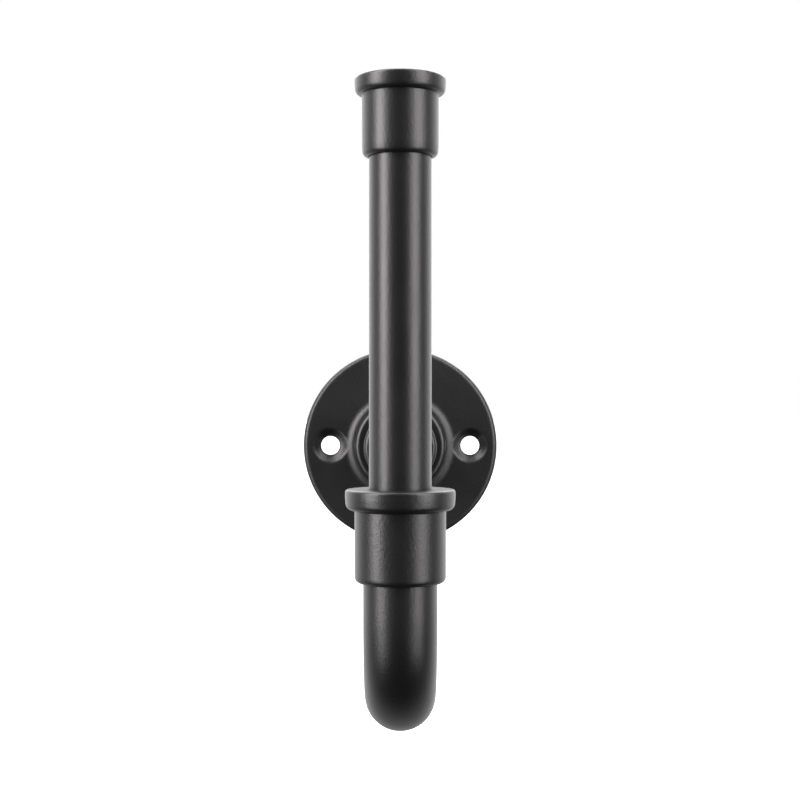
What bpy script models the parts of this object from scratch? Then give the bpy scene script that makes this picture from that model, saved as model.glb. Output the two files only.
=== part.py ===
"""Wall-mounted toilet paper holder in the style of an industrial pipe and sink trap.

Frame: metres, +Z up, +Y towards the wall. The wall is the plane y = 0 and the origin is the
centre of the flange's back. The holder stands out towards -Y, and the roll drops over the
upright pipe. Both collar joints are built alike: a stud draws the two sides onto the collar's web.
"""
import math

import bmesh
import bpy
from mathutils import Vector

MM = 0.001

# Fits
FIT = 0.3 * MM                  # clearance between neighbouring pieces
MERGE = 0.001 * MM              # merge distance of the modifiers that weld points

# Upright pipe
PIPE_LENGTH = 142.8 * MM
PIPE_OD = 21.9 * MM
PIPE_WALL = 2.0 * MM
COLLAR_DROP = 10.3 * MM         # flange centre down to the top of the front collar

# Bent tube
TUBE_OD = 26.0 * MM
TUBE_WALL = 1.6 * MM
FRONT_LEG = 11.1 * MM           # straight tube between the front collar and its bend
TRAP_RUN = 30.2 * MM            # straight tube between the two bottom bends
TRAP_BEND_RADIUS = 34.5 * MM    # centreline radius of the two bottom bends
ELBOW_RADIUS = 25.4 * MM        # centreline radius of the elbow at the wall

# Collars
COLLAR_WALL = 2.7 * MM
COLLAR_LENGTH = 32.7 * MM
FRONT_RIM_PROUD = 3.3 * MM      # how far a rim stands out of its sleeve
WALL_RIM_PROUD = 4.8 * MM
RIM_HEIGHT = 7.3 * MM
RIM_TOP_ROUND = 1.0 * MM
RIM_UNDER_ROUND = 2.1 * MM
RIM_NECK_ROUND = 0.8 * MM       # hollow corner between the rim and the body
BODY_END_ROUND = 2.0 * MM
BORE_EDGE = 0.4 * MM            # broken edge of bores
PIPE_SEAT = 13.0 * MM           # how deep the pipe enters the rim side of a collar
WEB_THICKNESS = 3.0 * MM

# End cap
CAP_WALL = 2.2 * MM
CAP_RIM_PROUD = 2.55 * MM
CAP_RIM_HEIGHT = 5.9 * MM
CAP_HEIGHT = 27.65 * MM
CAP_SEAT = 14.0 * MM            # how deep the pipe enters the cap
CAP_THREAD_DEPTH = 10.0 * MM
CAP_END_ROUND = 2.0 * MM

# Wall flange, pressed from sheet
FLANGE_OD = 89.0 * MM
SHEET = 2.0 * MM
PLATE_HEIGHT = 5.0 * MM         # wall to the front of the plate
HUB_HEIGHT = 6.4 * MM           # wall to the front of the hub
HUB_LAND = 1.1 * MM             # how far the hub reaches past the wall collar's rim
HUB_SLOPE_WIDTH = 2.4 * MM      # from the hub's top corner out to its foot
HUB_TOP_ROUND = 5.0 * MM
HUB_FOOT_ROUND = 5.0 * MM
EDGE_ROUND = 2.2 * MM
HOLE_SPACING = 64.2 * MM
HOLE_OD = 8.6 * MM
DISH_OD = 17.0 * MM
DISH_DEPTH = 2.2 * MM
DISH_SKIN = 1.4 * MM            # sheet left around the dish, thinned by the press

# Threaded hardware
STUD_OD = 8.0 * MM
STUD_CHAMFER = 0.8 * MM
STUD_REACH = 12.5 * MM          # how far a stud enters each plug
PLUG_LENGTH = 14.0 * MM
PLUG_CHAMFER = 0.8 * MM
WASHER_SIDE_GAP = 1.25 * MM     # between a lock washer and the bore around it
WASHER_THICKNESS = 1.6 * MM
WASHER_SPLIT = 1.2 * MM
BOSS_SHOULDER_WIDTH = 4.35 * MM
BOSS_SHOULDER = 3.4 * MM        # thickness of the boss's shoulder

# Facets
ROUND_STEPS = 32                # round a turned piece
FLANGE_STEPS = 48
HARDWARE_STEPS = 20
CORNER_STEPS = 3                # along the rounding of a corner
BEND_STEPS = 9                  # along each bend of the tube
TUBE_SIDES = 24

# Sizes that follow from the ones above
PIPE_BORE = PIPE_OD / 2 - PIPE_WALL
BORE_RADIUS = PIPE_OD / 2 + FIT
SLEEVE_RADIUS = TUBE_OD / 2 + FIT
COLLAR_RADIUS = SLEEVE_RADIUS + COLLAR_WALL
WALL_RIM_RADIUS = COLLAR_RADIUS + WALL_RIM_PROUD
CAP_RADIUS = BORE_RADIUS + CAP_WALL
HUB_TOP_RADIUS = WALL_RIM_RADIUS + HUB_LAND
HUB_FOOT_RADIUS = HUB_TOP_RADIUS + HUB_SLOPE_WIDTH
HUB_SLOPE = math.atan2(HUB_HEIGHT - PLATE_HEIGHT, HUB_SLOPE_WIDTH)
HUB_SLOPE_LENGTH = math.hypot(HUB_HEIGHT - PLATE_HEIGHT, HUB_SLOPE_WIDTH)
THREAD_HOLE = STUD_OD / 2 + FIT
WASHER_RADIUS = PIPE_BORE - WASHER_SIDE_GAP
WASHER_SEAT = WASHER_THICKNESS + 2 * FIT
WEB_TOP = PIPE_SEAT + FIT
TUBE_END = WEB_TOP + WEB_THICKNESS + FIT
FRONT_RIM_TOP = -COLLAR_DROP
WALL_RIM_BACK = -(HUB_HEIGHT + FIT)
COLLAR_MOUTH = WALL_RIM_BACK - COLLAR_LENGTH
BACK_LEG = COLLAR_MOUTH - ELBOW_RADIUS
PIPE_AXIS = BACK_LEG - 2 * TRAP_BEND_RADIUS - TRAP_RUN
BEND_HEIGHT = FRONT_RIM_TOP - COLLAR_LENGTH - FRONT_LEG
PIPE_BOTTOM = FRONT_RIM_TOP - PIPE_SEAT
PIPE_TOP = PIPE_BOTTOM + PIPE_LENGTH
CAP_BASE = PIPE_TOP + FIT - CAP_SEAT

BLACK_COAT = ("black_powder_coat", (0.022, 0.022, 0.023), 0.42, 0.0)
ZINC = ("zinc_plated_steel", (0.55, 0.56, 0.58), 0.35, 1.0)


def clear_scene():
    for old in list(bpy.data.objects):
        bpy.data.objects.remove(old, do_unlink=True)


def make_collection(name):
    collection = bpy.data.collections.new(name)
    bpy.context.scene.collection.children.link(collection)
    return collection


def make_material(name, finish):
    _, colour, roughness, metallic = finish
    material = bpy.data.materials.new(name + "_" + finish[0])
    material.use_nodes = True
    shader = material.node_tree.nodes["Principled BSDF"]
    shader.inputs["Base Color"].default_value = (*colour, 1.0)
    shader.inputs["Roughness"].default_value = roughness
    shader.inputs["Metallic"].default_value = metallic
    return material


def make_frame(name, location, tilt):
    """An empty that carries the pieces of one joint, turned by tilt about X."""
    frame = bpy.data.objects.new(name, None)
    frame.location = location
    frame.rotation_euler = (tilt, 0.0, 0.0)
    HOLDER.objects.link(frame)
    return frame


def rounded(corners):
    """Turn corners (radius, height, rounding) of a closed outline into points with arcs."""
    points = []
    count = len(corners)
    for index, (across, up, rounding) in enumerate(corners):
        corner = Vector((across, up))
        if rounding == 0.0:
            points.append(corner)
            continue
        before = (Vector(corners[index - 1][:2]) - corner).normalized()
        after = (Vector(corners[(index + 1) % count][:2]) - corner).normalized()
        half_angle = before.angle(after) / 2
        setback = rounding / math.tan(half_angle)
        centre = corner + (before + after).normalized() * rounding / math.sin(half_angle)
        start = corner + before * setback - centre
        sweep = start.angle_signed(corner + after * setback - centre)
        for step in range(CORNER_STEPS + 1):
            turn = -sweep * step / CORNER_STEPS
            points.append(centre + Vector((
                start.x * math.cos(turn) - start.y * math.sin(turn),
                start.x * math.sin(turn) + start.y * math.cos(turn))))
    return points


def turned(name, corners, finish, steps=ROUND_STEPS, collection=None):
    """Turn a closed outline about Z. The outline runs down the outer side and up the bore."""
    points = rounded(corners)
    mesh = bpy.data.meshes.new(name)
    edges = [(i, (i + 1) % len(points)) for i in range(len(points))]
    on_axis = [p.x < MERGE for p in points]
    edges = [(a, b) for a, b in edges if not (on_axis[a] and on_axis[b])]
    mesh.from_pydata([(p.x, 0.0, p.y) for p in points], edges, [])
    piece = bpy.data.objects.new(name, mesh)
    (collection or HOLDER).objects.link(piece)
    screw = piece.modifiers.new("turn", "SCREW")
    screw.steps = steps
    screw.render_steps = steps
    screw.use_merge_vertices = True
    screw.merge_threshold = MERGE
    mesh.materials.append(make_material(name, finish))
    return piece


def cut(piece, cutter, operation="DIFFERENCE"):
    cutter.hide_render = True
    cutter.display_type = "WIRE"
    boolean = piece.modifiers.new(operation.lower() + "_" + cutter.name, "BOOLEAN")
    boolean.operation = operation
    boolean.object = cutter


def attach(piece, frame):
    piece.parent = frame
    return piece


def make_collar(name, rim, frame):
    """A sleeve with a bead rim of radius rim. Its rim end is at 0 and its body runs down Z."""
    body = COLLAR_RADIUS
    web_bottom = WEB_TOP + WEB_THICKNESS
    corners = [
        (BORE_RADIUS, 0.0, BORE_EDGE),
        (rim, 0.0, RIM_TOP_ROUND),
        (rim, -RIM_HEIGHT, RIM_UNDER_ROUND),
        (body, -RIM_HEIGHT, RIM_NECK_ROUND),
        (body, -COLLAR_LENGTH, BODY_END_ROUND),
        (SLEEVE_RADIUS, -COLLAR_LENGTH, BORE_EDGE),
        (SLEEVE_RADIUS, -web_bottom, 0.0),
        (THREAD_HOLE, -web_bottom, 0.0),
        (THREAD_HOLE, -WEB_TOP, 0.0),
        (BORE_RADIUS, -WEB_TOP, 0.0)]
    return attach(turned(name, corners, BLACK_COAT), frame)


def make_plug(name, radius, top, frame):
    """A threaded insert that is brazed into a tube's end."""
    bottom = top - PLUG_LENGTH
    corners = [
        (THREAD_HOLE, top, 0.0),
        (radius - PLUG_CHAMFER, top, 0.0),
        (radius, top - PLUG_CHAMFER, 0.0),
        (radius, bottom + PLUG_CHAMFER, 0.0),
        (radius - PLUG_CHAMFER, bottom, 0.0),
        (THREAD_HOLE, bottom, 0.0)]
    return attach(turned(name, corners, ZINC, HARDWARE_STEPS), frame)


def make_stud(name, top, bottom, frame):
    radius = STUD_OD / 2
    corners = [
        (0.0, top, 0.0),
        (radius - STUD_CHAMFER, top, 0.0),
        (radius, top - STUD_CHAMFER, 0.0),
        (radius, bottom + STUD_CHAMFER, 0.0),
        (radius - STUD_CHAMFER, bottom, 0.0),
        (0.0, bottom, 0.0)]
    return attach(turned(name, corners, ZINC, HARDWARE_STEPS), frame)


def make_lock_washer(name, frame):
    """A split spring washer between the collar's web and the piece above it."""
    bottom = -WEB_TOP + FIT
    top = bottom + WASHER_THICKNESS
    outer = WASHER_RADIUS
    corners = [
        (THREAD_HOLE, top, 0.0),
        (outer, top, 0.0),
        (outer, bottom, 0.0),
        (THREAD_HOLE, bottom, 0.0)]
    washer = attach(turned(name, corners, ZINC, HARDWARE_STEPS), frame)
    mesh = bpy.data.meshes.new(name + "_split")
    solid = bmesh.new()
    bmesh.ops.create_cube(solid, size=1.0)
    bmesh.ops.scale(solid, verts=solid.verts, vec=(outer, WASHER_SPLIT, 2 * WASHER_THICKNESS))
    bmesh.ops.translate(solid, verts=solid.verts, vec=(outer, 0.0, (top + bottom) / 2))
    solid.to_mesh(mesh)
    solid.free()
    slot = bpy.data.objects.new(name + "_split", mesh)
    CUTTERS.objects.link(slot)
    cut(washer, attach(slot, frame))
    return washer


def make_joint_hardware(side, frame):
    """The hidden pieces that a collar joint has on its tube side, with the stud and washer."""
    make_lock_washer(side + "_lock_washer", frame)
    make_plug(side + "_tube_plug", TUBE_OD / 2 - TUBE_WALL - FIT, -TUBE_END, frame)
    stud_top = -PIPE_SEAT + WASHER_SEAT + STUD_REACH
    make_stud(side + "_stud", stud_top, -TUBE_END - STUD_REACH, frame)


def make_wall_flange(frame):
    """A pressed round plate with a skirt to the wall, a raised hub and two dished screw holes."""
    edge = FLANGE_OD / 2
    inset = SHEET * math.tan(HUB_SLOPE / 2)
    most = 0.49 * HUB_SLOPE_LENGTH / math.tan(HUB_SLOPE / 2)    # both roundings share the slope
    top_round, foot_round = min(HUB_TOP_ROUND, most), min(HUB_FOOT_ROUND, most)
    corners = [
        (BORE_RADIUS, HUB_HEIGHT, 0.0),
        (HUB_TOP_RADIUS, HUB_HEIGHT, top_round),
        (HUB_FOOT_RADIUS, PLATE_HEIGHT, foot_round),
        (edge, PLATE_HEIGHT, EDGE_ROUND),
        (edge, 0.0, 0.0),
        (edge - SHEET, 0.0, 0.0),
        (edge - SHEET, PLATE_HEIGHT - SHEET, 0.0),
        (HUB_FOOT_RADIUS - inset, PLATE_HEIGHT - SHEET, foot_round + SHEET),
        (HUB_TOP_RADIUS - inset, HUB_HEIGHT - SHEET, max(top_round - SHEET, 0.0)),
        (BORE_RADIUS, HUB_HEIGHT - SHEET, 0.0)]
    flange = attach(turned("wall_flange", corners, BLACK_COAT, FLANGE_STEPS), frame)
    dish, hole = DISH_OD / 2, HOLE_OD / 2
    dish_bottom = PLATE_HEIGHT - DISH_DEPTH
    above = PLATE_HEIGHT + SHEET
    slope = (dish - hole) / DISH_DEPTH
    pressed = [
        (0.0, PLATE_HEIGHT - SHEET / 2, 0.0),
        (dish + DISH_SKIN, PLATE_HEIGHT - SHEET / 2, 0.0),
        (hole + DISH_SKIN, dish_bottom - DISH_SKIN, 0.0),
        (0.0, dish_bottom - DISH_SKIN, 0.0)]
    opened = [
        (0.0, above, 0.0),
        (dish + slope * SHEET, above, 0.0),
        (hole, dish_bottom, 0.0),
        (hole, -SHEET, 0.0),
        (0.0, -SHEET, 0.0)]
    for work, outline, operation in (("press", pressed, "UNION"), ("hole", opened, "DIFFERENCE")):
        tool = attach(turned("screw_" + work, outline, BLACK_COAT, HARDWARE_STEPS, CUTTERS), frame)
        tool.location.x = HOLE_SPACING / 2
        pair = tool.modifiers.new("pair", "MIRROR")
        pair.mirror_object = frame
        pair.use_mirror_merge = False
        cut(flange, tool, operation)
    return flange


def make_flange_boss(frame):
    """The threaded boss behind the hub, whose spigot carries the wall collar."""
    spigot = PIPE_OD / 2
    shoulder = spigot + BOSS_SHOULDER_WIDTH
    shoulder_front = FIT + SHEET + FIT
    shoulder_back = shoulder_front + BOSS_SHOULDER
    seat = WASHER_RADIUS + FIT
    corners = [
        (THREAD_HOLE, shoulder_back, 0.0),
        (shoulder, shoulder_back, PLUG_CHAMFER),
        (shoulder, shoulder_front, 0.0),
        (spigot, shoulder_front, 0.0),
        (spigot, -PIPE_SEAT, PLUG_CHAMFER),
        (seat, -PIPE_SEAT, 0.0),
        (seat, -PIPE_SEAT + WASHER_SEAT, 0.0),
        (THREAD_HOLE, -PIPE_SEAT + WASHER_SEAT, 0.0)]
    return attach(turned("flange_boss", corners, BLACK_COAT), frame)


def make_upright_pipe(frame):
    outer, inner = PIPE_OD / 2, PIPE_BORE
    top, bottom = PIPE_TOP - FRONT_RIM_TOP, PIPE_BOTTOM - FRONT_RIM_TOP
    corners = [
        (inner, top, 0.0),
        (outer, top, 0.0),
        (outer, bottom, 0.0),
        (inner, bottom, 0.0)]
    return attach(turned("upright_pipe", corners, BLACK_COAT), frame)


def make_end_cap(frame):
    """A turned cap with a bead rim at its top, bored for the pipe and threaded for the stud."""
    rim, body = CAP_RADIUS + CAP_RIM_PROUD, CAP_RADIUS
    rim_bottom = CAP_HEIGHT - CAP_RIM_HEIGHT
    thread_end = CAP_SEAT + CAP_THREAD_DEPTH
    corners = [
        (0.0, CAP_HEIGHT, 0.0),
        (rim, CAP_HEIGHT, RIM_TOP_ROUND),
        (rim, rim_bottom, RIM_UNDER_ROUND),
        (body, rim_bottom, RIM_NECK_ROUND / 2),
        (body, 0.0, CAP_END_ROUND),
        (BORE_RADIUS, 0.0, 0.0),
        (BORE_RADIUS, CAP_SEAT, 0.0),
        (THREAD_HOLE, CAP_SEAT, 0.0),
        (THREAD_HOLE, thread_end, 0.0),
        (0.0, thread_end, 0.0)]
    return attach(turned("end_cap", corners, BLACK_COAT), frame)


def bend(centre_y, centre_z, radius, first_angle, last_angle):
    """Points of a quarter bend in the plane x = 0, its angles from +Y towards +Z."""
    points = []
    for step in range(BEND_STEPS + 1):
        angle = math.radians(first_angle + (last_angle - first_angle) * step / BEND_STEPS)
        points.append((0.0, centre_y + radius * math.cos(angle), centre_z + radius * math.sin(angle)))
    return points


def tube_centreline():
    """Down the front leg, along the bottom run, up the back leg and through the elbow."""
    points = [(0.0, PIPE_AXIS, FRONT_RIM_TOP - TUBE_END)]
    points += bend(PIPE_AXIS + TRAP_BEND_RADIUS, BEND_HEIGHT, TRAP_BEND_RADIUS, 180, 270)
    points += bend(BACK_LEG - TRAP_BEND_RADIUS, BEND_HEIGHT, TRAP_BEND_RADIUS, 270, 360)
    points += bend(COLLAR_MOUTH, -ELBOW_RADIUS, ELBOW_RADIUS, 180, 90)
    points.append((0.0, WALL_RIM_BACK - TUBE_END, 0.0))
    return points


def make_bent_tube():
    """One bent tube: an open skin along the centreline that Solidify gives its wall."""
    curve = bpy.data.curves.new("bent_tube_path", "CURVE")
    curve.dimensions = "3D"
    curve.bevel_depth = TUBE_OD / 2
    curve.bevel_resolution = TUBE_SIDES // 2 - 2
    points = tube_centreline()
    spline = curve.splines.new("POLY")
    spline.points.add(len(points) - 1)
    for point, place in zip(spline.points, points):
        point.co = (*place, 1.0)
    path = bpy.data.objects.new("bent_tube_path", curve)
    HOLDER.objects.link(path)
    view = bpy.context.evaluated_depsgraph_get()
    mesh = bpy.data.meshes.new_from_object(path.evaluated_get(view), depsgraph=view)
    skin = bmesh.new()
    skin.from_mesh(mesh)
    bmesh.ops.remove_doubles(skin, verts=skin.verts, dist=MERGE)
    bmesh.ops.recalc_face_normals(skin, faces=skin.faces)
    skin.to_mesh(mesh)
    skin.free()
    tube = bpy.data.objects.new("bent_tube", mesh)
    tube.matrix_world = path.matrix_world.copy()
    HOLDER.objects.link(tube)
    bpy.data.objects.remove(path, do_unlink=True)
    wall = tube.modifiers.new("wall", "SOLIDIFY")
    wall.thickness = TUBE_WALL
    wall.offset = -1.0
    mesh.materials.clear()
    mesh.materials.append(make_material("bent_tube", BLACK_COAT))
    return tube


def build():
    wall_plane = make_frame("wall_plane_frame", (0.0, 0.0, 0.0), math.pi / 2)
    wall_joint = make_frame("wall_joint_frame", (0.0, WALL_RIM_BACK, 0.0), -math.pi / 2)
    front_joint = make_frame("front_joint_frame", (0.0, PIPE_AXIS, FRONT_RIM_TOP), 0.0)
    cap_frame = make_frame("cap_frame", (0.0, PIPE_AXIS, CAP_BASE), 0.0)

    make_wall_flange(wall_plane)
    make_flange_boss(wall_joint)
    make_collar("wall_collar", WALL_RIM_RADIUS, wall_joint)
    make_joint_hardware("wall", wall_joint)
    make_bent_tube()
    make_joint_hardware("front", front_joint)
    make_collar("front_collar", COLLAR_RADIUS + FRONT_RIM_PROUD, front_joint)

    pipe_plug_radius = PIPE_BORE - FIT
    make_upright_pipe(front_joint)
    lower_plug_top = -PIPE_SEAT + WASHER_SEAT + PLUG_LENGTH
    make_plug("pipe_lower_plug", pipe_plug_radius, lower_plug_top, front_joint)
    make_plug("pipe_upper_plug", pipe_plug_radius, CAP_SEAT - FIT, cap_frame)
    make_stud("cap_stud", CAP_SEAT + CAP_THREAD_DEPTH - FIT, CAP_SEAT - FIT - STUD_REACH, cap_frame)
    make_end_cap(cap_frame)


clear_scene()
HOLDER = make_collection("toilet_paper_holder")
CUTTERS = make_collection("cutters")
build()
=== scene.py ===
"""Looks of the wall-mounted toilet paper holder: fine meshes, satin black coating and studio."""

import math

import bmesh
import bpy
import numpy as np
from mathutils import Matrix, Vector
from mathutils.geometry import delaunay_2d_cdt


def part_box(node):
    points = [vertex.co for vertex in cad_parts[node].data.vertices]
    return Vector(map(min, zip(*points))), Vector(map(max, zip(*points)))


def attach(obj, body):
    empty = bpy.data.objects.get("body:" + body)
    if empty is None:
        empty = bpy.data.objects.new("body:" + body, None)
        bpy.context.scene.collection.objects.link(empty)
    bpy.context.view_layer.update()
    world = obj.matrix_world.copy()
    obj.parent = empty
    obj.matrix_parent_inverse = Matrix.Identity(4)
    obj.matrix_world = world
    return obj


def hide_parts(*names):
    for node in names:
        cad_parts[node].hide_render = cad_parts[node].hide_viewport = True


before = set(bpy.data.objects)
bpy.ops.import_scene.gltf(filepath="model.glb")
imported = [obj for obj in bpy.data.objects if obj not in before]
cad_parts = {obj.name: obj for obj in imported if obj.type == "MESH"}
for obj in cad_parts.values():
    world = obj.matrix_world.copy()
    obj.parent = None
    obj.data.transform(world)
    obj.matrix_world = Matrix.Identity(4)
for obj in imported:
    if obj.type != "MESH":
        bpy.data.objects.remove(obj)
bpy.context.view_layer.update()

MM = 0.001

# ---- sizes that the frame gives ------------------------------------------------------------
CAP_LOW, CAP_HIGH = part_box("end_cap")
PIPE_LOW, PIPE_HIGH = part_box("upright_pipe")
FRONT_LOW, FRONT_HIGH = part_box("front_collar")
WALL_LOW, WALL_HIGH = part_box("wall_collar")
TUBE_LOW, TUBE_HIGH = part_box("bent_tube")
FLANGE_LOW, FLANGE_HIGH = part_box("wall_flange")

PIPE_AXIS = (FRONT_LOW.y + FRONT_HIGH.y) / 2
PIPE_RADIUS = PIPE_HIGH.x
TUBE_RADIUS = TUBE_HIGH.x
FRONT_RIM_TOP = FRONT_HIGH.z
WALL_RIM_BACK = WALL_HIGH.y
COLLAR_LENGTH = FRONT_HIGH.z - FRONT_LOW.z
TRAP_HEIGHT = TUBE_LOW.z + TUBE_RADIUS
FLANGE_RADIUS = FLANGE_HIGH.x
HUB_HEIGHT = -FLANGE_LOW.y

# ---- sizes that the frame's boxes don't hold --------------------------------------------------
CLOSE_FIT = 0.08 * MM           # between a bore and what sits in it
GAP = 0.3 * MM                  # between the ends of neighbouring pieces
PIPE_WALL = 2.0 * MM
TUBE_WALL = 1.6 * MM
TRAP_BEND_RADIUS = 34.5 * MM
ELBOW_RADIUS = 25.4 * MM
COLLAR_RADIUS = 16.0 * MM
RIM_HEIGHT = 7.3 * MM
RIM_TOP_ROUND = 1.0 * MM
RIM_SIDE = 3.1 * MM             # straight part of a rim's side, above its soft shoulder
RIM_UNDER_ROUND = 2.5 * MM
RIM_NECK_ROUND = 0.5 * MM
BODY_END_ROUND = 2.3 * MM
CAP_SOFT_END = 3.4 * MM         # length over which the cap draws in towards its lower end
SHOULDER_TAPER = 0.35 * MM      # how far a soft shoulder draws in
SHOULDER_ROUND = 15.0 * MM
EDGE_BREAK = 0.35 * MM
PIPE_SEAT = 13.0 * MM           # how deep the pipe enters a collar
WEB_THICKNESS = 3.0 * MM        # the collar's inner web, which the stud passes
TUBE_SEAT = PIPE_SEAT + GAP + WEB_THICKNESS + GAP   # from a collar's rim end to its tube's end
CAP_RADIUS = 13.45 * MM
CAP_RIM_HEIGHT = 5.9 * MM
CAP_RIM_SIDE = 2.6 * MM
CAP_RIM_UNDER_ROUND = 1.9 * MM
CAP_SEAT = 14.0 * MM
CAP_THREAD_DEPTH = 10.0 * MM
CAP_END_ROUND = 1.9 * MM
CAP_NECK_ROUND = 0.4 * MM
SHEET = 2.0 * MM
PLATE_HEIGHT = 5.0 * MM
HUB_TOP_RADIUS = 21.9 * MM
HUB_FOOT_RADIUS = 24.3 * MM
HUB_TOP_ROUND = 5.0 * MM
HUB_FOOT_ROUND = 5.0 * MM
FLANGE_EDGE_ROUND = 2.2 * MM
HOLE_OFFSET = 32.1 * MM
HOLE_RADIUS = 4.3 * MM
DISH_RADIUS = 8.5 * MM
DISH_DEPTH = 2.2 * MM
BOSS_SHOULDER_RADIUS = 15.0 * MM
BOSS_SHOULDER = 3.4 * MM
WELD_RING_RADIUS = 15.2 * MM
WELD_BEAD_RADIUS = 1.4 * MM
WELD_RIPPLE_HEIGHT = 0.12 * MM
STUD_RADIUS = 4.0 * MM
STUD_CHAMFER = 0.8 * MM
STUD_REACH = 12.5 * MM
STUD_HOLE = 4.3 * MM            # clearance hole in a collar's web
THREAD_PITCH = 1.25 * MM
THREAD_DEPTH = 0.61 * MM
THREAD_FIT = 0.05 * MM
PLUG_LENGTH = 14.0 * MM
PLUG_CHAMFER = 0.8 * MM
WASHER_RADIUS = 7.4 * MM
WASHER_SEAT = 2.2 * MM          # height that a lock washer takes between web and plug
WASHER_THICKNESS = 1.5 * MM
WASHER_LIFT = 0.4 * MM          # how far the washer's split ends stand apart
WASHER_TURN = math.radians(350)

# ---- mesh density ----------------------------------------------------------------------------
ROUND_SEGMENTS = 160
HARDWARE_SEGMENTS = 64
FLANGE_SEGMENTS = 240
HOLE_SEGMENTS = 72
HOLE_RINGS = 12
CORNER_STEPS = 9
TUBE_SIDES = 96
TUBE_BEND_STEPS = 48
TUBE_RING_SPACING = 1.5 * MM
WELD_RIPPLES = 60
WELD_SIDES = 16
SUPPORT = 0.25 * MM             # how close to a rounding a straight run gets its own ring
THREAD_STEP = THREAD_PITCH / 8  # ring spacing along a thread
LONG_RUN = 4 * SUPPORT          # straight runs longer than this get those rings
PLAN_MARGIN = 0.1 * MM          # between a dish's edge and the hub's own rings
WELD_STEPS = 6                  # rings along one weld ripple
SAME_PLACE = 0.002 * MM
MERGE_DISTANCE = 1e-7
COLLAPSE_DISTANCE = 1e-8
FULL_TURN = 2 * math.pi
SHARP_ANGLE = math.radians(35)
BEND_ATTRIBUTE = "bend_radius"

# ---- finishes ------------------------------------------------------------------------------
COAT_DARK = (0.003, 0.003, 0.0031)
COAT_LIGHT = (0.006, 0.006, 0.0062)
COAT_BUMP = 0.6
COAT_BUMP_HEIGHT = 0.09 * MM
COAT_GLOSS_SWING = 0.08
ZINC_DARK = (0.42, 0.43, 0.45)
ZINC_LIGHT = (0.60, 0.61, 0.63)
ZINC_BUMP = 0.1
ZINC_BUMP_HEIGHT = 0.02 * MM
ZINC_GLOSS_SWING = 0.15
COAT_CLOUD_SHARE = 0.6          # share of the clouds in a surface's tone, the grain has the rest
ZINC_CLOUD_SHARE = 0.7
TUBE_ROUGHNESS = 0.37
FITTING_ROUGHNESS = 0.37
SHEET_ROUGHNESS = 0.42
STUD_ROUGHNESS = 0.3
PLUG_ROUGHNESS = 0.34
WASHER_ROUGHNESS = 0.38

# ---- studio ---------------------------------------------------------------------------------
WHITE = (1.0, 1.0, 1.0, 1.0)
CAMERA_SENSOR = 36.0
CAMERA_LENS = 65.25
CAMERA_DISTANCE = 0.507         # from the pipe's axis
CAMERA_SIDE = -0.0001
CAMERA_HEIGHT = 0.0209
FLOOR_HEIGHT = -0.40
FLOOR_SIZE = 60.0
FLOOR_COLOUR = (0.9, 0.9, 0.9, 1.0)
FLOOR_ROUGHNESS = 0.9
COVE_TURN = (-0.1, 0.75)        # how far back the cove starts to brighten, and where it is full
COVE_FRONT_TO_BACK = (0.01, 2.3)
COVE_RISE = (-0.7, 0.2)
COVE_LOW_TO_HIGH = (0.25, 1.0)
BOX_COLOUR = (1.0, 0.97, 0.985)
BOX_AIM_HEIGHT = 0.03
# name: azimuth and elevation in degrees, distance, (width, height), radiance
SOFT_BOXES = {
    "left_soft_box": (-63.0, 25.0, 1.1, (0.50, 1.6), 13.0),
    "right_soft_box": (56.0, 25.0, 1.1, (0.62, 1.6), 7.8),
    "left_low_box": (-63.0, -28.0, 1.1, (0.50, 0.45), 4.6),
    "right_low_box": (56.0, -28.0, 1.1, (0.62, 0.45), 3.2),
    "top_soft_box": (0.0, 95.0, 1.1, (1.4, 0.5), 5.0),
    "back_soft_box": (180.0, 38.0, 1.4, (1.6, 0.7), 4.0)}


# ================================ outlines and turned pieces ================================

def rounded(corners, closed=True):
    """Turn corners (radius, height, rounding) into points, with an arc at each rounded corner."""
    points = []
    count = len(corners)
    for index, (across, up, rounding) in enumerate(corners):
        corner = Vector((across, up))
        is_end = not closed and index in (0, count - 1)
        if rounding == 0.0 or is_end:
            points.append(corner)
            continue
        before = (Vector(corners[index - 1][:2]) - corner).normalized()
        after = (Vector(corners[(index + 1) % count][:2]) - corner).normalized()
        half_angle = before.angle(after) / 2
        setback = rounding / math.tan(half_angle)
        centre = corner + (before + after).normalized() * rounding / math.sin(half_angle)
        start = corner + before * setback - centre
        sweep = start.angle_signed(corner + after * setback - centre)
        for step in range(CORNER_STEPS + 1):
            turn = -sweep * step / CORNER_STEPS
            points.append(centre + Vector((
                start.x * math.cos(turn) - start.y * math.sin(turn),
                start.x * math.sin(turn) + start.y * math.cos(turn))))
    return points


def supported(points, closed=True):
    """Add a point near both ends of each long straight run, so that smooth shading stays flat."""
    result = []
    count = len(points)
    for index, point in enumerate(points):
        result.append(point)
        if not closed and index == count - 1:
            break
        run = points[(index + 1) % count] - point
        if run.length > LONG_RUN:
            step = run.normalized() * SUPPORT
            result += [point + step, point + run - step]
    return result


def finish_mesh(name, mesh, place=None):
    """A smooth shaded object at the origin, with its place in its mesh."""
    if place is not None:
        mesh.transform(place)
    mesh.shade_smooth()
    mesh.set_sharp_from_angle(angle=SHARP_ANGLE)
    piece = bpy.data.objects.new(name, mesh)
    bpy.context.scene.collection.objects.link(piece)
    return piece


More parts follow.
